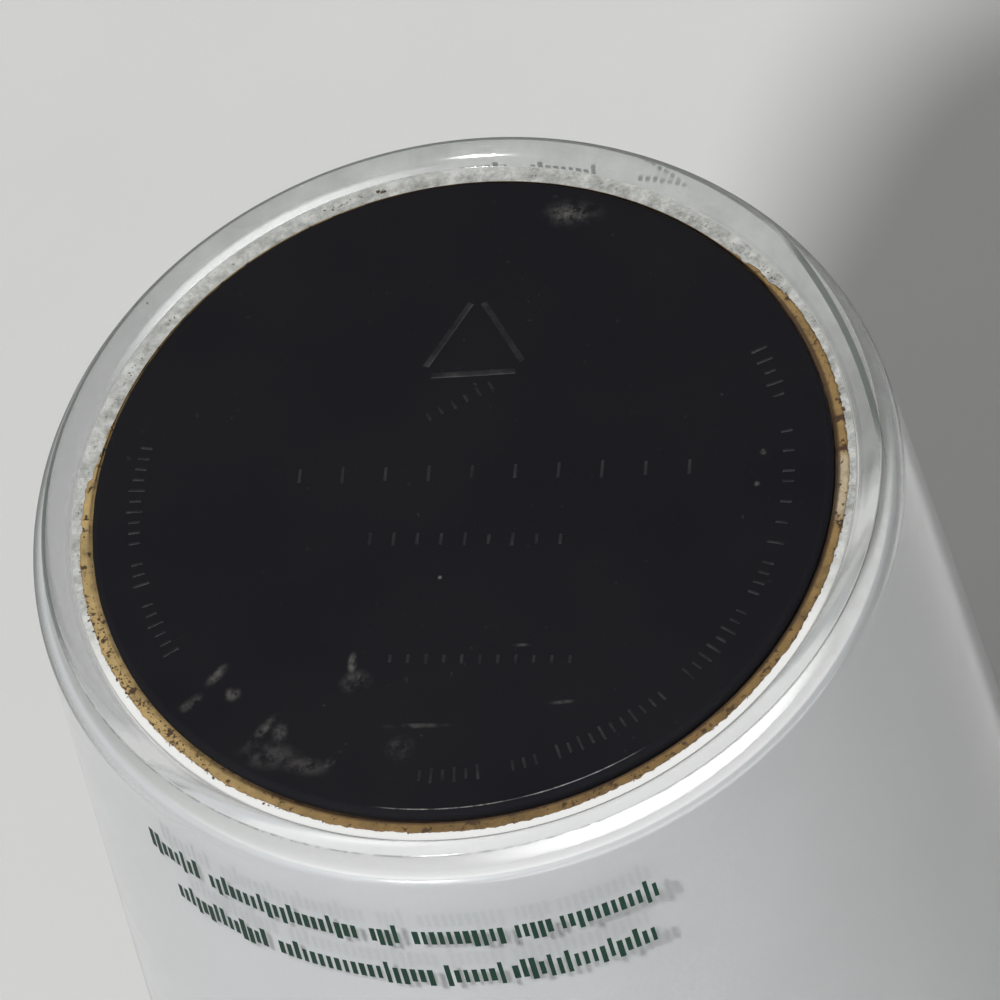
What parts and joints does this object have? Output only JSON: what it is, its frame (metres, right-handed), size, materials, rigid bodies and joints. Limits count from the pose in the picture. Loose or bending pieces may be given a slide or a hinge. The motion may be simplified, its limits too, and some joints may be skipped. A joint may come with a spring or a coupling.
{
  "type": "used coffee cup",
  "caption": "Used double-walled plastic coffee cup, upside down: clear tapered shell over a white liner and inner cup, black base plug ringed with dried coffee.",
  "frame": {"origin": "centre of the mouth rim, on the surface the upturned cup stands on", "axes": "+Z along the cup's axis, from the mouth up to the foot; a slot in the plug's skirt faces +X"},
  "size_m": [0.0894, 0.0894, 0.155],
  "materials": {
    "clear_plastic": "clear and glossy, scuffed on the foot ring",
    "white_liner": "satin moulded white",
    "white_plastic": "semi-gloss moulded white",
    "black_plastic": "satin black with dull smudges",
    "dried_coffee": "matt dried coffee, for the ring of dirt round the plug",
    "green_ink": "dark green print on the shell"
  },
  "bodies": {
    "root": {"outer_shell": "clear_plastic", "white_liner": "white_liner", "inner_cup": "white_plastic", "base_plug": "black_plastic"}
  },
  "joints": []
}
